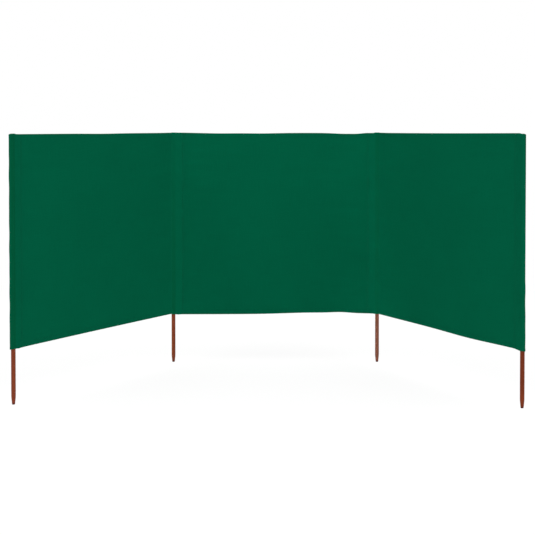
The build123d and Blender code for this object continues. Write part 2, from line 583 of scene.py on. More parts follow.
def wave_sum(seed, far, high, waves):
    """These waves added together. The seed gives each its start and slant."""
    lengths_along, lengths_up, height = waves
    dice = np.random.default_rng(seed)
    total = np.zeros(np.broadcast(far, high).shape)
    for along, up in zip(lengths_along, lengths_up):
        slant = dice.uniform(-1, 1)
        begun = dice.uniform(0, 2 * math.pi)
        total = total + np.cos(2 * math.pi * (slant * far / along + high / up) + begun)
    return height * total / len(lengths_up)


def cloth_stands(bay, far, high):
    """How far the cloth of a bay stands in front of its plane, from its seams inwards."""
    seed = BAY_SEEDS[bay.name]
    across, up = np.clip(bay.share(far), 0, 1), np.clip(up_share(high), 0, 1)
    upright = BELLY_AT_EDGES + (1 - BELLY_AT_EDGES) * np.sin(math.pi * up)
    total = BELLY * np.sin(math.pi * across) ** BELLY_FULLNESS * upright
    total = total + wave_sum(seed, far, high, DRIFT_WAVES)
    from_seams = [np.clip(distance, 0, None) for distance in (far - bay.start, bay.end - far)]
    for own_seed, distance in enumerate(from_seams, seed + 1):
        ridges = wave_sum(own_seed, far, high, RIDGE_WAVES)
        total = total + ridges * np.exp(-distance / RIDGE_FADE)
    for own_seed, distance in enumerate((high - cloth_bottom, cloth_top - high), seed + 3):
        pucker = wave_sum(own_seed, high, far, PUCKER_WAVES)
        total = total + pucker * np.exp(-np.clip(distance - hem_width, 0, None) / PUCKER_FADE)
    for distance in from_seams:
        total = total * (1 - np.exp(-distance / SEAM_FADE))
    return total


for name, bay in bays.items():
    high = np.linspace(cloth_bottom, cloth_top, 80)[:, None]
    depth = cloth_stands(bay, np.linspace(bay.start, bay.end, 90), high) / MM
    print(name, "cloth stands", round(depth.min(), 1), "to", round(depth.max(), 1), "mm proud")

# %% [markdown]
# The top and bottom edges aren't quite straight either. Between two poles the top edge sags by a few
# millimetres, and the pull on the seams draws the bottom edge up or lets it down. Each edge is a slanted
# line with a sag and a few soft bumps, and these few sizes follow the outline in the photograph.

# %% The run of the top and bottom edges
@dataclass
class EdgeRun:
    """How far an edge lies above its straight line, in mm: at its start, its end and in mid bay.
    A bump is its place and half its width, as shares of the bay, and its height in mm."""

    start: float
    end: float
    middle: float = 0.0
    bumps: tuple = ()

    def rise(self, share):
        share = np.clip(share, 0, 1)
        total = self.start + (self.end - self.start) * share + self.middle * np.sin(math.pi * share)
        for place, half_width, height in self.bumps:
            total = total + height * np.exp(-(((share - place) / half_width) ** 2))
        return total * MM


top_runs = {
    "left": EdgeRun(-2.0, -3.0, bumps=((0.0, 0.05, 1.2), (0.5, 0.12, -1.8))),
    "middle": EdgeRun(-1.5, -3.0, bumps=(
        (0.0, 0.04, 0.9), (0.2, 0.12, -3.5), (0.42, 0.12, -3.5),
        (0.88, 0.08, -5.2), (0.95, 0.04, -2.8), (1.0, 0.05, 1.2),
    )),
    "right": EdgeRun(-2.0, 3.0, -1.5, bumps=((0.0, 0.04, 1.2),)),
}
bottom_runs = {
    "left": EdgeRun(0.5, -9.5, 2.5),
    "middle": EdgeRun(-5.0, 0.0, bumps=((0.7, 0.2, 8.0), (0.86, 0.07, 6.0))),
    "right": EdgeRun(0.0, 0.0, bumps=((0.7, 0.2, -6.3),)),
}


def top_edge(bay, far):
    return cloth_top + top_runs[bay.name].rise(bay.share(far))


def bottom_edge(bay, far):
    return cloth_bottom + bottom_runs[bay.name].rise(bay.share(far))


middle_top = top_edge(bays["middle"], np.linspace(0, bays["middle"].width, 99))
print("the top edge of the middle bay is at least", round(middle_top.min() / MM), "mm up")

# %% [markdown]
# ## The outline of a sleeve
# A sleeve is a strip of cloth that is folded round the pole, with both of its edges sewn to the end of
# the panel. Seen from above it is a drop: round where the pole fills it, then two flat walls that run
# together to the stitches. It is the same shape as a band pulled tight round circles of different sizes,
# so its outline is worked out that way, from tangents and arcs. The strip past the stitches holds the
# panel's end between its two layers. The sleeves of the end poles are slacker, and the left one stands
# well off its pole in a soft fold.

# %% The outline of a sleeve, seen from above
pole_low, pole_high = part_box("pole_left_inner")
pole_radius = (pole_high.x - pole_low.x) / 2
sleeve_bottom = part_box("sleeve_left_inner")[0].z
SLEEVE_THICKNESS = 0.7 * MM
WALL_OFFSET = 0.68 * MM  # of each wall's middle from the panel's middle, past the stitches
NOSE_RADIUS = 1.6 * WALL_OFFSET  # of a slack sleeve's folded edge
SEAM_STRIP = 12 * MM  # from the stitches to the end of the strip
sleeve_near, seam_end = bays["middle"].reach("sleeve_left_inner")
sleeve_radius = -sleeve_near - SLEEVE_THICKNESS / 2
seam = seam_end - SEAM_STRIP
STRIP_STEPS = 5
LEAST_STEPS = 3
ARC_STEP = 8 * MM  # made smaller by the fineness
WALL_STEP = 2.2 * MM


def band_round(circles, fineness):
    """One side of a band pulled round circles (centre, radius) that lie in a row, from first to last.
    It gives points, and the direction that faces out at each."""
    leaving = [math.acos((next_radius - radius) / (centre - next_centre))
               for (centre, radius), (next_centre, next_radius) in zip(circles, circles[1:])]
    angles = [math.pi / 2] + leaving + [math.pi]
    spots, facing = [], []
    for (centre, radius), first, last in zip(circles, angles, angles[1:]):
        steps = LEAST_STEPS + int(fineness * radius * abs(last - first) / ARC_STEP)
        turn = np.linspace(first, last, steps)
        spots.append(np.stack((centre + radius * np.cos(turn), radius * np.sin(turn)), axis=-1))
        facing.append(turn)
    whole, faced = [spots[0]], [facing[0]]
    for arc, turn in zip(spots[1:], facing[1:]):
        gap = np.linalg.norm(arc[0] - whole[-1][-1])
        share = np.linspace(0, 1, max(2, int(gap / WALL_STEP)) + 1)[1:-1, None]
        whole += [whole[-1][-1] * (1 - share) + arc[0] * share, arc]
        faced += [np.full(len(share), turn[0]), turn]
    return np.concatenate(whole), np.concatenate(faced)


def round_both_sides(side):
    """A side, and then the same on the other side, back to its start."""
    return np.concatenate((side, side[-2::-1] * np.array((1, -1))))


def sleeve_side(slack):
    """The middle line of a sleeve's front: from the end of the strip, along the wall, round the pole."""
    circles = [(seam, WALL_OFFSET), (0.0, sleeve_radius)]
    if slack > 0:
        circles.append((-(sleeve_radius + slack - WALL_OFFSET), NOSE_RADIUS))
    side, facing = band_round(circles, fineness=4)
    strip = np.linspace(seam_end, seam, STRIP_STEPS)[:-1]
    strip_side = np.stack((strip, np.full_like(strip, WALL_OFFSET)), axis=-1)
    strip_facing = np.full(len(strip), math.pi / 2)
    return np.concatenate((strip_side, side)), np.concatenate((strip_facing, facing))


def sleeve_outline(slack):
    """The middle line of a sleeve's cloth: from the end of the strip, round the pole, and back."""
    side, facing = sleeve_side(slack)
    return round_both_sides(side), np.concatenate((facing, -facing[-2::-1]))


def length_along(points):
    """How far each point of a line lies from its first."""
    steps = np.linalg.norm(np.diff(points, axis=0), axis=1)
    return np.concatenate(((0,), np.cumsum(steps)))


print("a sleeve is cut", round(length_along(sleeve_outline(0)[0])[-1] / MM), "mm wide")

# %% [markdown]
# Each sleeve has its own way of sitting on its pole. Its lower edge is level round the pole, and where
# it is sewn to the panel it runs on into the panel's own edge. Its flat walls have small folds, and the
# walls lean together at the top, where they are sewn in a ridge. That is why no pole end shows.

# %% The four sleeves
@dataclass
class Sleeve:
    """A sleeve's pole, its bay, whether it is at the bay's far end, and how it sits on the pole."""

    place: str
    bay: Bay
    at_end: bool
    seed: int
    slack: float = 0.0  # how far its folded edge stands off the pole
    droop: float = 0.6 * MM  # of the top corner on the outer side
    mouth_rise: float = 0.0  # of its lower edge at the pole, above the model's
    nose_drop: float = 0.0  # and how much lower that edge is at the folded edge
    nose_lean: float = 0.0  # how much further the folded edge stands off at the bottom than at the top
    shade_below: float = 0.0  # how much painted pole shade shows through, at the bottom
    shade_above: float = 0.0  # and at the top

    def along_bay(self, far):
        """A distance from its pole towards the bay's middle, as one from the bay's first pole."""
        return self.bay.width - far if self.at_end else far

    def spot(self, far, side, high):
        """Points this far from the pole towards the bay's middle, in front, and up."""
        return self.bay.spot(self.along_bay(far), side, high)

    def step(self, far, side):
        """A level step this far towards the bay's middle and this far to the front."""
        return self.spot(far, side, 0.0) - self.spot(0.0, 0.0, 0.0)


sleeve_list = (
    Sleeve("left_outer", bays["left"], at_end=True, seed=71, slack=10 * MM, droop=3 * MM,
           mouth_rise=-3.5 * MM, nose_drop=1.5 * MM, shade_below=1.0, shade_above=0.9),
    Sleeve("left_inner", bays["middle"], at_end=False, seed=72, shade_below=0.8, shade_above=0.1),
    Sleeve("right_inner", bays["middle"], at_end=True, seed=73, mouth_rise=2.5 * MM,
           shade_below=0.4, shade_above=0.6),
    Sleeve("right_outer", bays["right"], at_end=True, seed=74, slack=3.5 * MM, droop=10 * MM,
           mouth_rise=1.4 * MM, nose_lean=7 * MM, shade_below=0.15, shade_above=0.15),
)
sleeve_at = {sleeve.place: sleeve for sleeve in sleeve_list}
print("sleeves:", list(sleeve_at))

# %% [markdown]
# How the cloth of a sleeve lies is worked out from the place on it and not stored with its points. So
# the cloth that runs over an inner sleeve can ask for the same folds, and the two never cut each other.

# %% How a sleeve's cloth lies
FLUSH_OVER = 18 * MM  # from the round, where a sleeve's edges meet the panel's
NOSE_REACH = 30 * MM
FLANK_START = 1 * MM  # from the pole's axis, where the flat walls begin
FLANK_EASE = 20 * MM  # their folds grow over this distance from the pole and from the stitches
DRAWN_FADE, DRAWN_POWER = 14 * MM, 0.3  # how fast the small folds at the stitches fade and start
SLACK_FROM, SLACK_EASE = 0.8, 6 * MM  # a slack sleeve is loose past this share of the round
STITCHED_SEED, SLACK_SEED = 10, 20  # added to a sleeve's seed for its other waves
# Waves, as in the panels: in the flat walls, at the stitches and in the slack part
WALL_WAVES = ((0.09, 0.14, 0.2), (0.16, 0.27, 0.09), 1.5 * MM)
STITCHED_WAVES = ((0.3, 0.25), (0.031, 0.043), 0.45 * MM)
SLACK_WAVES = ((0.4, 0.3), (0.21, 0.13), 0.9 * MM)
SHADE_BAND_HALF, SHADE_BAND_EASE = 0.7, 0.5  # of the pole's radius: half the band of painted pole shade, and its soft edge


def beside_panel(sleeve, far, at_pole, edge):
    """The height of a sleeve's edge. It leaves this height at the pole for the edge of the panel."""
    share = eased((far - sleeve_radius) / FLUSH_OVER)
    return at_pole + (edge(sleeve.bay, sleeve.along_bay(far)) - at_pole) * share


def mouth_height(sleeve, far):
    """The height of a sleeve's lower edge."""
    at_pole = sleeve_bottom + sleeve.mouth_rise - sleeve.nose_drop * eased(-far / NOSE_REACH)
    return beside_panel(sleeve, far, at_pole, bottom_edge)


def ridge_height(sleeve, far):
    """The height of the ridge where a sleeve's walls are sewn together."""
    return beside_panel(sleeve, far, cloth_top, top_edge)


def sleeve_puff(sleeve, far, high):
    """How far a sleeve's cloth stands out from its tight outline: small folds in its flat walls."""
    at_stitches = np.clip((seam - far) / FLANK_EASE, 0, 1)
    flank = at_stitches * np.clip((far - FLANK_START) / FLANK_EASE, 0, 1)
    drawn = np.exp(-np.clip(seam - far, 0, None) / DRAWN_FADE) * (far < seam)
    slack_part = np.clip((-far - sleeve_radius * SLACK_FROM) / SLACK_EASE, 0, 1) * (sleeve.slack > 0)
    folds_in_walls = wave_sum(sleeve.seed, far, high, WALL_WAVES) * flank
    small = wave_sum(sleeve.seed + STITCHED_SEED, far, high, STITCHED_WAVES)
    loose = wave_sum(sleeve.seed + SLACK_SEED, far, high, SLACK_WAVES)
    loose = loose + sleeve.nose_lean * (0.5 - up_share(high))
    return folds_in_walls + small * drawn * flank ** DRAWN_POWER + loose * slack_part


# How the walls close at the top: how far below the ridge, in mm, and the share of their spread there
BELOW_RIDGE = np.array((0.0, 0.3, 0.75, 1.3, 1.95, 2.55, 3.15, 3.9, 4.9, 6.2))
SPREAD_LEFT = np.array((0.0, 0.06, 0.17, 0.32, 0.50, 0.68, 0.84, 0.94, 0.985, 1.0))


def spread_at(below_ridge):
    return np.interp(below_ridge, BELOW_RIDGE * MM, SPREAD_LEFT)


def painted_pole_band(sleeve, off_axis, high):
    """How much painted shade and colour of the pole show through the cloth, at this distance to the side of
    its axis.
    """
    share = np.clip(up_share(high), 0, 1)
    band = 1 - eased((np.abs(off_axis) - SHADE_BAND_HALF * pole_radius) / (SHADE_BAND_EASE * pole_radius))
    return band * (sleeve.shade_below + (sleeve.shade_above - sleeve.shade_below) * share)


print("the walls close over the last", BELOW_RIDGE.max(), "mm below the ridge")

# %% [markdown]
# ## The cloth over a fold
# At an inner pole the photograph shows no gap and no groove between two bays: the front cloth of an end
# bay runs on over the pole, in a soft bend, and ends in the seam beside the pole's sleeve. Seen from
# above, that line is the sleeve's own wall, a little further out, and then one curve to the plane of the
# end bay. A curve with one control point, where the two straight stretches would meet, leaves both of
# them as a tangent, so the bend has no kink.

# %% The cloth over a fold
CLOTH_THICKNESS = 0.6 * MM
BINDING_THICKNESS = 0.7 * MM
BINDING_OFFSET = 0.68 * MM  # of each layer's middle from the bay's plane
CLEAR = 0.05 * MM  # between two layers that lie on each other
COVER_OFFSET = (SLEEVE_THICKNESS + CLOTH_THICKNESS) / 2 + CLEAR  # from the sleeve's wall to this cloth
COVER_PROUD = WALL_OFFSET + COVER_OFFSET  # in front of a bay's plane, where it lies on a seam
BEND_REACH = 32 * MM  # the bend ends this far along the end bay
BEND_STEPS = 16
STILL_FLAT = 1e-9  # a wall that turns by less from point to point is flat
OPEN_SHARE = 0.75  # of the bend, over which its top stops closing over the pole
BACK_IN_PLANE = 30 * MM  # and then the cloth eases back into the bay's plane


@dataclass
class Fold:
    """Where an end bay's cloth lies as it runs over the inner pole, seen from above."""

    sleeve: Sleeve
    far: np.ndarray  # along the sleeve's wall, from its pole
    facing: np.ndarray  # the way out of that wall, as an angle
    wall: np.ndarray  # its points on the wall
    bend: np.ndarray  # its points on the bend
    bend_share: np.ndarray

    @property
    def line(self):
        """All its points, from the seam to the end of the bend."""
        return np.concatenate((self.wall, self.bend))


def lay_fold(bay, sleeve):
    outline, facing = sleeve_side(0)
    flat = int(np.argmax(np.diff(facing) > STILL_FLAT)) + 1
    outline, facing = outline[:flat], facing[:flat]
    out = outline + COVER_OFFSET * ways(facing)
    wall = sleeve.spot(out[:, 0], out[:, 1], 0.0)
    leaves = wall[-1]
    way = (wall[-1] - wall[-2]) / np.linalg.norm(wall[-1] - wall[-2])
    plane = bay.spot(0.0, COVER_PROUD, 0.0)
    run = np.linalg.solve(np.stack((way[:2], -bay.along[:2]), axis=1), (plane - leaves)[:2])[0]
    share = np.linspace(0, 1, BEND_STEPS + 1)[1:]
    turn, ends = leaves + run * way, plane + BEND_REACH * bay.along
    weights = ((1 - share) ** 2, 2 * share * (1 - share), share ** 2)
    bend = sum(weight[:, None] * point for weight, point in zip(weights, (leaves, turn, ends)))
    return Fold(sleeve, outline[:, 0], facing, wall, bend, share)


folds = {name: lay_fold(bays[name], sleeve_at[f"{name}_inner"]) for name in ("left", "right")}


def lift(bay, far):
    """How far an end bay's cloth stands in front of its plane because it comes over the pole."""
    if bay.name not in folds:
        return np.zeros(np.shape(far))
    on_bend = np.interp(far, *bay.measure(folds[bay.name].bend))
    past_bend = COVER_PROUD * (1 - eased((far - BEND_REACH) / BACK_IN_PLANE))
    return np.where(far < BEND_REACH, on_bend, past_bend)


def surface_spots(bay, far, high, proud=0.0):
    """Points on the bay's cloth, or this far in front of it."""
    return bay.spot(far, cloth_stands(bay, far, high) + lift(bay, far) + proud, high)


for name, fold in folds.items():
    print(name, "fold: cloth runs on for", round(length_along(fold.line)[-1] / MM), "mm")

# %% [markdown]
# ## The three panels
# A panel is one flat piece of cloth. The middle panel's ends are caught between the two walls of a
# sleeve, so its grid runs on into the seams. An end panel starts at the seam on the far side of the
# inner pole, with the columns of the fold. Its points are closer together near the seams and the hems,
# because the forms are smallest there.
# An end panel crosses a joint. If it moved with its bay alone, it would tear off the sleeve, so it moves
# with no body: its points are placed where they stand.

# %% The panels
CAUGHT = 10 * MM  # how far a panel's end runs into the seam
FINE_STEP, COARSE_STEP, FINE_BAND = 4 * MM, 9 * MM, 64 * MM
FOLD_DEPTH = 0.6 * MM  # from a hem's outer fold to the edge of the panel inside it
ABOVE_MOUTH = 0.8 * MM  # the lower edge of the cloth over a fold, above the sleeve's


def panel_rows():
    """Shares of the height: fine near both edges, and finest where the top leans in over a pole."""
    height = cloth_top - cloth_bottom
    rows = graded(0, height, FINE_STEP, COARSE_STEP, FINE_BAND)
    lean = height - BELOW_RIDGE * MM
    return np.sort(np.concatenate((rows[rows < lean.min() - FINE_STEP / 2], lean))) / height


def fold_grid(bay, fold, rows):
    """The grid of the cloth over a fold, and the heights of its points."""
    sleeve = fold.sleeve
    on_wall = len(fold.far)
    wall_low = mouth_height(sleeve, fold.far) + ABOVE_MOUTH
    wall_top = ridge_height(sleeve, fold.far)
    bend_far, _ = bay.measure(fold.bend)
    share = eased(fold.bend_share)
    bend_low = wall_low[-1] + (bottom_edge(bay, bend_far) + FOLD_DEPTH - wall_low[-1]) * share
    bend_top = wall_top[-1] + (top_edge(bay, bend_far) - FOLD_DEPTH - wall_top[-1]) * share
    low, top = np.concatenate((wall_low, bend_low)), np.concatenate((wall_top, bend_top))
    high = low + (top - low) * rows[:, None]

    # How far the walls have leaned in, and the line over the pole that they lean to
    closing = np.concatenate((np.ones(on_wall), 1 - eased(fold.bend_share / OPEN_SHARE)))
    spread = 1 - (1 - spread_at(top - high)) * closing
    ridge = sleeve.spot(fold.far, COVER_PROUD, 0.0)
    bend_ridge = ridge[-1] + (fold.bend[-1] - ridge[-1]) * fold.bend_share[:, None]
    ridge = np.concatenate((ridge, bend_ridge))

    puff = sleeve_puff(sleeve, fold.far, high[:, :on_wall])
    puffed = sleeve.step(puff * np.cos(fold.facing), puff * np.sin(fold.facing))
    stands = cloth_stands(bay, bend_far, high[:, on_wall:])
    bend = fold.bend + stands[..., None] * bay.front
    plan = np.concatenate((fold.wall + puffed, bend), axis=1)
    grid = ridge + (plan - ridge) * spread[..., None]
    grid[..., 2] = high
    return grid, high


def make_panel(bay):
    rows = panel_rows()
    fold = folds.get(bay.name)
    start = BEND_REACH + FINE_STEP if fold else bay.start - CAUGHT
    far = graded(start, bay.end + CAUGHT, FINE_STEP, COARSE_STEP, FINE_BAND)
    low = bottom_edge(bay, far) + FOLD_DEPTH
    high = low + (top_edge(bay, far) - FOLD_DEPTH - low) * rows[:, None]
    grid = surface_spots(bay, np.broadcast_to(far, high.shape), high)
    pole_shade = np.zeros(high.shape)
    if fold:
        start_grid, start_high = fold_grid(bay, fold, rows)
        course = fold.wall[-1] - fold.wall[-3]
        past_pole = (fold.line - bay.foot) @ course / np.linalg.norm(course)
        # painted shade of the pole, through the cloth over the fold
        start_shade = painted_pole_band(fold.sleeve, past_pole, start_high)
        travelled = length_along(fold.line)
        far = np.concatenate((BEND_REACH + travelled - travelled[-1], far))
        grid = np.concatenate((start_grid, grid), axis=1)
        high = np.concatenate((start_high, high), axis=1)
        pole_shade = np.concatenate((start_shade, pole_shade), axis=1)
    # painted shade over the hems, where the cloth lies double
    double_shade = np.minimum(high - cloth_bottom, cloth_top - high) < hem_width - FINE_STEP / 2
    panel = cloth_piece(
        f"cloth_{bay.name}", None if fold else bay.body, grid, map_of(far, high),
        halves=(CLOTH_THICKNESS / 2, CLOTH_THICKNESS / 2),
        turned=bay.mirrored, double_shade=double_shade, pole_shade=pole_shade,
    )
    if fold:
        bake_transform(panel)
    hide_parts(f"panel_{bay.name}")
    return panel, float(far.max() - far.min())


panels, cut_widths = {}, {}
for name, bay in bays.items():
    panels[name], cut_widths[name] = make_panel(bay)
    print(panels[name].name, len(panels[name].data.polygons) * 2, "triangles")

# %% [markdown]
# ## The hems
# Along the top and the bottom the cloth is turned over twice to the back and sewn down. In section that
# is a narrow J: a tight fold over the edge, then two layers flat against the back. The section is drawn
# once, from the edge inwards, and carried along the edge, where it follows the same waves as the panel,
# so the two never cut through each other.

# %% The hems
# The section, in mm: how far in front of the panel's middle, and how far in from the outer fold
HEM_SECTION = np.array((
    (0.30, 0.80), (0.32, 0.30), (0.05, 0.02), (-0.60, -0.05), (-1.15, 0.15), (-1.38, 0.90), (-1.42, 3.0),
    (-1.38, 14.0), (-1.42, 26.4), (-1.20, 27.7), (-0.80, 28.0), (-0.42, 27.7), (-0.34, 26.8), (-0.31, 14.0),
    (-0.31, 1.2), (0.0, 0.8),
)) * MM
HEM_STEP = 5 * MM


def make_hem(bay, edge):
    inward = -1 if edge == "top" else 1
    run = top_edge if edge == "top" else bottom_edge
    far = np.linspace(bay.start, bay.end, int((bay.end - bay.start) / HEM_STEP))
    far_grid, depth_in = np.meshgrid(far, HEM_SECTION[:, 1], indexing="ij")
    proud = np.broadcast_to(HEM_SECTION[:, 0], far_grid.shape)
    high_grid = run(bay, far)[:, None] + inward * depth_in
    points = surface_spots(bay, far_grid, high_grid, proud).reshape(-1, 3)

    stations, corners = far_grid.shape
    index = np.arange(stations * corners).reshape(stations, corners)
    onward = np.roll(index, -1, axis=1)
    sides = np.stack((index[:-1], onward[:-1], onward[1:], index[1:]), axis=-1).reshape(-1, 4)
    ends = [index[0, ::-1], index[-1]]
    if (edge == "top") == bay.mirrored:
        sides, ends = sides[:, ::-1], [end[::-1] for end in ends]
    faces = sides.tolist() + [end.tolist() for end in ends]
    hem = add_piece(f"turned_hem_{edge}_{bay.name}", points, faces, cloth_finish, bay.body)
    map_cloth(hem, map_of(far_grid, length_along(HEM_SECTION)))
    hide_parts(f"{edge}_hem_{bay.name}")
    return hem


hems = {}
for name, bay in bays.items():
    hems[name] = [make_hem(bay, "top"), make_hem(bay, "bottom")]
print(sum(len(pair) for pair in hems.values()), "hems, each", round(hem_width / MM), "mm wide")

# %% [markdown]
# ## The sleeves
# The outline is carried up the pole. The mouth is hemmed, so it is thicker there, and that of an end
# sleeve stands a little wider than the pole. An inner sleeve is tight all the way down, because a bay
# swings round it. Over the pole's end the walls lean together, and the corner on the outer side, which
# nothing holds up, hangs a little lower.

# %% The sleeves
MOUTH_HEM = 14 * MM
MOUTH_ROWS = np.array((0, 0.4, 1.2, 3, 6, 9, 12, 13.4, 14.6, 17, 21, 27)) * MM  # above the mouth
SHAFT_ABOVE_MOUTH, SHAFT_BELOW_TOP, SHAFT_ROWS = 36 * MM, 18 * MM, 84  # even rows in between
POLE_TOP_ROWS = np.array((13, 10, 8)) * MM  # below the top
MOUTH_FLARE = 0.5 * MM
FLARE_FADE, FLARE_EASE = 16 * MM, 10 * MM  # up the sleeve, and towards the stitches
HEM_EASE = 8 * MM  # the hem thins out over this distance to the stitches
HEM_EXTRA = 0.75  # of the cloth's thickness, added inside at the hem
EDGE_FADE = 60 * MM  # over this height the rows turn level again, above the mouth and below the ridge
RIDGE_OFFSET = 0.08 * MM  # of each wall's middle, where the ridge is sewn shut
SHUT_OVER = 20 * MM  # from the stitches, where the walls part to hold the panel
HELD_SHARE = 0.35  # of the top corner's droop, over the pole's end. The rest is past the pole
CORNER_FADE = 40 * MM
CORNER_PULL = 1.2 * MM  # how far the drooping corner is drawn in
LEAST_SLACK = 1 * MM  # so that nothing is divided by a tight sleeve's slack
SLEEVE_DOUBLE_SHADE = 0.3  # painted shade, as its other wall lies behind it, but not everywhere


def make_sleeve(sleeve):
    slack = sleeve.slack > 0
    outline, facing = sleeve_outline(sleeve.slack)
    shaft = np.linspace(sleeve_bottom + SHAFT_ABOVE_MOUTH, cloth_top - SHAFT_BELOW_TOP, SHAFT_ROWS)
    closing = np.concatenate((cloth_top - POLE_TOP_ROWS, cloth_top - BELOW_RIDGE[::-1] * MM))
    heights = np.concatenate((sleeve_bottom + MOUTH_ROWS, shaft, closing))[:, None]
    above_mouth, below_top = heights - sleeve_bottom, cloth_top - heights
    spread = spread_at(below_top)
    far, side = np.broadcast_to(outline[:, 0], (len(heights), len(outline))), outline[:, 1]
    high = heights + (mouth_height(sleeve, far) - sleeve_bottom) * np.exp(-above_mouth / EDGE_FADE)
    high = high + (ridge_height(sleeve, far) - cloth_top) * np.exp(-below_top / EDGE_FADE)

    flare = MOUTH_FLARE * np.exp(-above_mouth / FLARE_FADE) * np.clip((seam - far) / FLARE_EASE, 0, 1)
    out = sleeve_puff(sleeve, far, high) * spread + flare * slack
    shut = 1 - eased((far - seam) / SHUT_OVER + 1)
    ridge_side = np.sign(side) * (WALL_OFFSET + (RIDGE_OFFSET - WALL_OFFSET) * shut)
    moved_side = ridge_side + (side + out * np.sin(facing) - ridge_side) * spread
    over_pole = HELD_SHARE * np.clip(-far / pole_radius, 0, 1) ** 3
    past_pole = eased((-far - pole_radius) / max(sleeve.slack, LEAST_SLACK))
    past_pole = (1 - HELD_SHARE) * past_pole * slack
    high = high - sleeve.droop * (1 - spread) * over_pole
    high = high - sleeve.droop * past_pole * np.exp(-below_top / CORNER_FADE)
    moved_far = far + out * np.cos(facing) + (1 - spread) * (over_pole + past_pole) * CORNER_PULL

    hemmed = (above_mouth < MOUTH_HEM) * np.clip((seam - far) / HEM_EASE, 0, 1)
    piece = cloth_piece(
        f"pole_sleeve_{sleeve.place}", sleeve.bay.body, sleeve.spot(moved_far, moved_side, high),
        map_of(length_along(outline), high),
        halves=(SLEEVE_THICKNESS / 2, SLEEVE_THICKNESS * (0.5 + HEM_EXTRA * hemmed)),
        turned=sleeve.at_end != sleeve.bay.mirrored,
        # painted shade of the pole, through the sleeve
        double_shade=SLEEVE_DOUBLE_SHADE, pole_shade=painted_pole_band(sleeve, far + sleeve.slack / 2, high),
    )
    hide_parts(f"sleeve_{sleeve.place}", f"sleeve_top_{sleeve.place}")
    return piece


sleeves = {sleeve.place: make_sleeve(sleeve) for sleeve in sleeve_list}
for piece in sleeves.values():
    print(piece.name, len(piece.data.polygons) * 2, "triangles")

# %% [markdown]
# ## The bindings at the folds
# Behind the bend, the end bay has a folded strip that is sewn through close to the sleeve, and the bay
# folds along that line. The strip stands straight out from the round sleeve at every angle, so it swings
# with its bay and never has to bend. It is trimmed below the top, where the cloth in front leans in.

# %% The bindings at the folds
TRIMMED = 8 * MM
BINDING_STARTS = 0.8 * MM  # above the cloth's lower edge
BINDING_FINE, BINDING_COARSE, BINDING_BAND = 3 * MM, 10 * MM, 12 * MM
BINDING_SHORTER = 0.4 * MM  # than the model's
BINDING_BULGE = 1.02  # of its folded edge
BINDING_WAVES = ((0.2, 0.15), (0.038, 0.027), 0.16 * MM)
BINDING_SEED = 9  # added to its bay's seed
BINDING_DOUBLE_SHADE = 0.5  # painted shade, as its other half lies behind it


def make_binding(bay):
    nose, end = bay.reach(f"fold_edge_{bay.name}")
    fold_centre = nose + BINDING_THICKNESS / 2 + BINDING_OFFSET
    circles = ((end - BINDING_SHORTER, BINDING_OFFSET), (fold_centre, BINDING_OFFSET * BINDING_BULGE))
    outline = round_both_sides(band_round(circles, fineness=6)[0])
    start, top = cloth_bottom + BINDING_STARTS, cloth_top - TRIMMED
    high = graded(start, top, BINDING_FINE, BINDING_COARSE, BINDING_BAND)[:, None]
    uneven = wave_sum(BAY_SEEDS[bay.name] + BINDING_SEED, outline[:, 0], high, BINDING_WAVES)
    depth = outline[:, 1] - np.abs(uneven) * (outline[:, 1] < 0)
    piece = cloth_piece(
        f"fold_binding_{bay.name}", bay.body, bay.spot(outline[:, 0], depth, high),
        map_of(length_along(outline), high),
        halves=(BINDING_THICKNESS / 2, BINDING_THICKNESS / 2),
        turned=bay.mirrored, double_shade=BINDING_DOUBLE_SHADE,
    )
    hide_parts(f"fold_edge_{bay.name}")
    return piece


bindings = {name: make_binding(bays[name]) for name in folds}
print("bindings:", [piece.name for piece in bindings.values()])

# %% [markdown]
# ## The stitches
# A lockstitch shows as a row of short bars, each pulled down into the cloth at both ends. They could be
# painted into the finish, but they stand up from the cloth and catch the light, and a bump would leave
# the mesh bare. Each stitch here is one small bar with two tips, and a row is a few hundred copies along
# a line on the cloth. All the rows of one bay are joined in one mesh.

# %% Rows of stitches
STITCH_PITCH = 4.6 * MM
STITCH_LENGTH = 3.9 * MM
STITCH_WIDTH = 0.9 * MM
STITCH_HEIGHT = 0.45 * MM
STITCH_SINK = 0.25 * MM

# One stitch: its points along, across and up, as shares of its length, width and height
bar_points = [(-0.5, 0.0, 0.0)]
for along in (-0.26, 0.26):
    bar_points += [(along, -0.5, 0.0), (along, -0.28, 1.0), (along, 0.28, 1.0), (along, 0.5, 0.0)]
bar_points.append((0.5, 0.0, 0.0))
bar_faces = [(1 + k, 2 + k, 6 + k, 5 + k) for k in range(3)]
bar_faces += [(0, 2 + k, 1 + k) for k in range(3)] + [(9, 5 + k, 6 + k) for k in range(3)]
bar_faces += [(0, 1, 4), (1, 5, 8, 4), (9, 8, 5)]


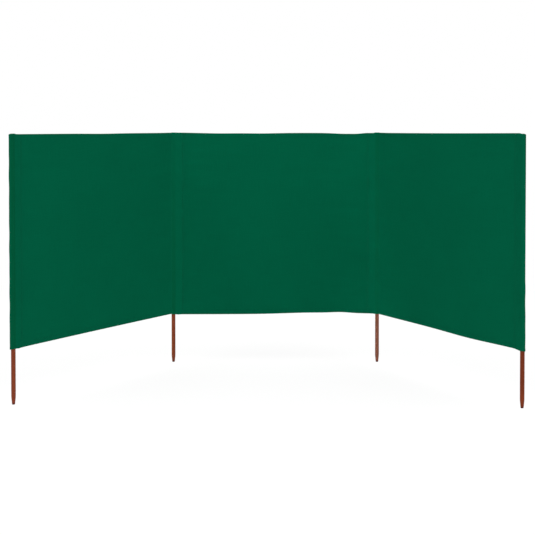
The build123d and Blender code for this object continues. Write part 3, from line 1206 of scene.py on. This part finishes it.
def row_of_stitches(line, facing, height=STITCH_HEIGHT):
    """Bars along a line of points on the cloth. Facing is the way out of the cloth at each point."""
    travelled = length_along(line)
    count = int(travelled[-1] / STITCH_PITCH)
    middles = (np.arange(count) + 0.5) * travelled[-1] / count

    def sample(values, distances):
        parts = [np.interp(distances, travelled, values[:, axis]) for axis in range(3)]
        return np.stack(parts, axis=-1)

    centre = sample(line, middles)
    ahead = sample(line, middles + STITCH_LENGTH / 2) - sample(line, middles - STITCH_LENGTH / 2)
    ahead /= np.linalg.norm(ahead, axis=1, keepdims=True)
    up = sample(facing, middles)
    up /= np.linalg.norm(up, axis=1, keepdims=True)
    across = np.cross(up, ahead)
    bar = np.array(bar_points) * np.array((STITCH_LENGTH, STITCH_WIDTH, 1))
    rise = np.where(bar[:, 2] > 0, height, -STITCH_SINK)
    spots = centre[:, None] + bar[:, 0, None] * ahead[:, None] + bar[:, 1, None] * across[:, None]
    return spots + rise[:, None] * up[:, None]


def flat_row(bay, line, side):
    """A row on the front of a bay (side 1) or on its back (side -1)."""
    return row_of_stitches(line, np.tile(bay.front * side, (len(line), 1)))


def rows_through(bay, front_line, back_line):
    """A row that goes through the cloth, seen from both sides."""
    return [flat_row(bay, front_line, 1), flat_row(bay, back_line, -1)]


print("a stitch every", STITCH_PITCH / MM, "mm")

# %% [markdown]
# A row goes right through the cloth, so it shows on the front and on the back. One runs through each
# hem, two beside each sleeve, one round each sleeve's mouth, and two hold each binding.

# %% Where the rows run
TIGHT_STITCH_HEIGHT = 0.15 * MM  # where a bay's binding passes close by
HEM_LINE_POINTS, UPRIGHT_LINE_POINTS = 500, 400  # of the lines that the rows follow
ROW_INSET = 3 * MM  # from the inner fold of a hem, and from the top of a binding
SEAM_INSET, STRIP_INSET = 2 * MM, 2.5 * MM  # from a strip's side at the pole, and from its other side
ROW_ENDS = 4 * MM  # what each row leaves free at its ends
HEM_BACK = 1.40 * MM  # from the panel's middle to the back of a hem


def hem_rows(bay):
    """A row through each hem."""
    far = np.linspace(bay.start + SEAM_INSET, bay.end - SEAM_INSET, HEM_LINE_POINTS)
    inset = hem_width - ROW_INSET
    rows = []
    for high in (top_edge(bay, far) - inset, bottom_edge(bay, far) + inset):
        front, back = (surface_spots(bay, far, high, proud) for proud in (CLOTH_THICKNESS / 2, -HEM_BACK))
        rows += rows_through(bay, front, back)
    return rows


def sleeve_rows(sleeve):
    """The two rows beside a sleeve, and the one round its mouth."""
    bay = sleeve.bay
    wall_face = WALL_OFFSET + SLEEVE_THICKNESS / 2
    covered = bay.name == "middle"
    front_face = COVER_PROUD + CLOTH_THICKNESS / 2 if covered else wall_face
    rows = []
    for far in (seam + SEAM_INSET, seam_end - STRIP_INSET):
        low, top = mouth_height(sleeve, far) + ROW_ENDS, ridge_height(sleeve, far) - ROW_ENDS
        heights = np.linspace(low, top, UPRIGHT_LINE_POINTS)
        front, back = (sleeve.spot(far, side, heights) for side in (front_face, -wall_face))
        rows += rows_through(bay, front, back)
    outline, facing = sleeve_outline(sleeve.slack)
    keep = (outline[:, 0] < seam - ROW_ENDS) & ((outline[:, 1] < 0) | (not covered))
    outline, outwards = outline[keep], ways(facing[keep])
    rim = outline + outwards * (SLEEVE_THICKNESS / 2 + MOUTH_FLARE * 0.5 * (sleeve.slack > 0))
    high = mouth_height(sleeve, outline[:, 0]) + MOUTH_HEM - ROW_INSET
    height = TIGHT_STITCH_HEIGHT if covered else STITCH_HEIGHT
    round_mouth = sleeve.spot(rim[:, 0], rim[:, 1], high)
    return rows + [row_of_stitches(round_mouth, sleeve.step(outwards[:, 0], outwards[:, 1]), height)]


def binding_rows(bay):
    """The row that holds the end bay's cloth to its binding, and a second one behind."""
    nose, end = bay.reach(f"fold_edge_{bay.name}")
    heights = np.linspace(cloth_bottom + ROW_ENDS, cloth_top - TRIMMED - ROW_INSET, UPRIGHT_LINE_POINTS)
    back = BINDING_OFFSET + BINDING_THICKNESS / 2
    through, behind = end - STRIP_INSET, nose + ROW_ENDS
    front_line = surface_spots(bay, np.full(len(heights), through), heights, CLOTH_THICKNESS / 2)
    rows = rows_through(bay, front_line, bay.spot(through, -back, heights))
    return rows + [flat_row(bay, bay.spot(behind, -back, heights), -1)]


def join_rows(name, rows, body):
    """One mesh of all these rows."""
    bars = np.concatenate(rows)
    starts = np.arange(len(bars)) * len(bar_points)
    faces = [tuple(start + corner for corner in face)
             for start in starts.tolist() for face in bar_faces]
    print(name, len(bars), "stitches")
    return add_piece(name, bars.reshape(-1, 3), faces, thread_finish, body)


stitches = {}
for name, bay in bays.items():
    rows = hem_rows(bay)
    for sleeve in sleeve_list:
        if sleeve.bay is bay:
            rows += sleeve_rows(sleeve)
    if name in bindings:
        rows += binding_rows(bay)
    stitches[name] = join_rows(f"stitches_{name}", rows, bay.body)

# %% [markdown]
# ## The poles
# The poles are the model's own: turned round, whittled to a blunt point, and standing where the mounts
# are. Only their finish is added.

# %% The poles
pole_browns = {
    "left_outer": (0.182, 0.034, 0.0123),
    "left_inner": (0.163, 0.0352, 0.0088),
    "right_inner": (0.184, 0.066, 0.0365),
    "right_outer": (0.169, 0.0283, 0.0051),
}
for place, brown in pole_browns.items():
    node = frame["nodes"][f"pole_{place}"]
    node.material_slots[0].material = stained_wood(f"stained wood {place}", feet[place], brown)

# %% [markdown]
# ## What is sewn on each sheet, and how wide it was cut
# For each bay, what was sewn on its sheet is gathered: its hems, its stitches and its binding. For each
# sleeve, the width that it was cut to is worked out.

# %% The sheets, as they were cut
for name, bay in bays.items():
    carried = hems[name] + [stitches[name]]
    if name in bindings:
        carried.append(bindings[name])

for sleeve in sleeve_list:
    width = float(length_along(sleeve_outline(sleeve.slack)[0])[-1])

# %% [markdown]
# ## Floor and light
# The photograph has a pure white ground and almost no shading: the light comes from everywhere. A white
# sky gives most of that, and two large soft lamps in front and one behind even out what the floor takes
# away. The floor is a real, pale floor for the object's light and its shadow. What the camera sees of it
# is mostly plain white, so that it runs into the background without a line, and only a faint shadow is
# left.

# %% Floor
FLOOR_HALF = 60.0
FLOOR_WHITE = 0.95
WHITE = (1, 1, 1, 1)
WHITE_SHARE_NEAR, WHITE_SHARE_FAR = 0.86, 1.0
PLAIN_FROM, PLAIN_AT = 2.2, 4.5  # metres from the windbreak's middle


def seen_plainly(finish):
    """1 for the rays that show the background: those of the camera, of gloss and of glass."""
    rays = [finish.node("LightPath", {}, {}, out=name) for name in
            ("Is Camera Ray", "Is Glossy Ray", "Is Transmission Ray")]
    return (rays[0] + rays[1] + rays[2]).clipped()


def studio_floor():
    paint = Finish(bpy.data.materials.new("pale floor"))
    place = paint.node("TexCoord", {}, {}, out="Object")
    middle = (cad_box[0] + cad_box[1]) / 2
    off_middle = paint.vectors("SUBTRACT", place, (middle.x, middle.y, 0))
    distance = paint.node("VectorMath", {"operation": "LENGTH"}, {0: off_middle}, out="Value")
    share = paint.range(distance, PLAIN_FROM, PLAIN_AT, WHITE_SHARE_NEAR, WHITE_SHARE_FAR)
    matt = paint.node("BsdfDiffuse", {}, {"Color": with_alpha((FLOOR_WHITE,) * 3)})
    plain = paint.node("Emission", {}, {"Color": WHITE, "Strength": 1.0})
    paint.end_with(paint.node("MixShader", {}, {0: seen_plainly(paint) * share, 1: matt, 2: plain}))
    signs = ((-1, -1), (1, -1), (1, 1), (-1, 1))
    corners = [(x * FLOOR_HALF, y * FLOOR_HALF, 0) for x, y in signs]
    floor = new_object("floor", corners, [(0, 1, 2, 3)], paint.owner)


studio_floor()

# %% Light
SKY_LIGHT = 0.735
LAMP_SIZE = 4.0
AIM = Vector((0.6, -0.5, 0.9))
# Each soft lamp's place and power
soft_lamps = {
    "high left": (Vector((-3.3, -2.75, 6.3)), 203.0),
    "high right": (Vector((4.5, -2.75, 6.3)), 203.0),
    "behind": (Vector((0.6, 6.0, 4.6)), 138.0),
}

world = bpy.data.worlds.new("white studio")
bpy.context.scene.world = world
sky = Finish(world)
white = sky.node("Background", {}, {"Color": WHITE, "Strength": 1.0})
light = sky.node("Background", {}, {"Color": WHITE, "Strength": SKY_LIGHT})
sky.end_with(sky.node("MixShader", {}, {0: seen_plainly(sky), 1: light, 2: white}), kind="OutputWorld")


def hang_lamp(name, place, aim, size, power):
    """A lamp with a flat face, as wide and as high as its size, that looks from its place to the aim."""
    bulb = bpy.data.lights.new(name, "AREA")
    bulb.shape = "RECTANGLE"
    bulb.size, bulb.size_y = size
    bulb.energy = power
    lamp = bpy.data.objects.new(name, bulb)
    lamp.location = place
    lamp.rotation_euler = (aim - place).to_track_quat("-Z", "Y").to_euler()
    lamp.visible_camera = False
    bpy.context.scene.collection.objects.link(lamp)
    return bulb


for name, (place, power) in soft_lamps.items():
    hang_lamp(name, place, AIM, (LAMP_SIZE, LAMP_SIZE), power)
bpy.context.scene.view_settings.view_transform = "Standard"
print("sky", SKY_LIGHT, "and", len(soft_lamps), "soft lamps")

# %% [markdown]
# Where two bays meet, each hides a part of the sky and of one lamp from the other, so the folds would be
# darker than they are in the photograph. One more lamp looks at each fold: a narrow strip with a grid in
# front, which keeps its light together, so that it falls on the fold and on little else.

# %% Strip lamps for the folds
STRIP_SIZE = (0.30, 1.5)
STRIP_GRID = math.radians(10)  # how far its light spreads
STRIP_AWAY = 3.0
STRIP_AIM = 0.72  # the height of its middle, and of what it looks at
# Each fold's strip: how far it stands to the left of straight in front, and its power
fold_lamps = {"left": (math.radians(0), 0.20), "right": (math.radians(15), 0.31)}

for name, (turned, power) in fold_lamps.items():
    aim = feet[f"{name}_inner"] + Vector((0, 0, STRIP_AIM))
    place = aim - STRIP_AWAY * Vector((math.sin(turned), math.cos(turned), 0))
    hang_lamp(f"{name} fold", place, aim, STRIP_SIZE, power).spread = STRIP_GRID
print("folds lit from", STRIP_AWAY, "m away")

# %% [markdown]
# ## Sizes, and the end
# The box of the model that the windbreak dresses is printed. The dressed windbreak has to stay as large
# as the model that it dresses.

# %% Sizes, and the end
print("model", [round(v, 3) for v in cad_box[1] - cad_box[0]])
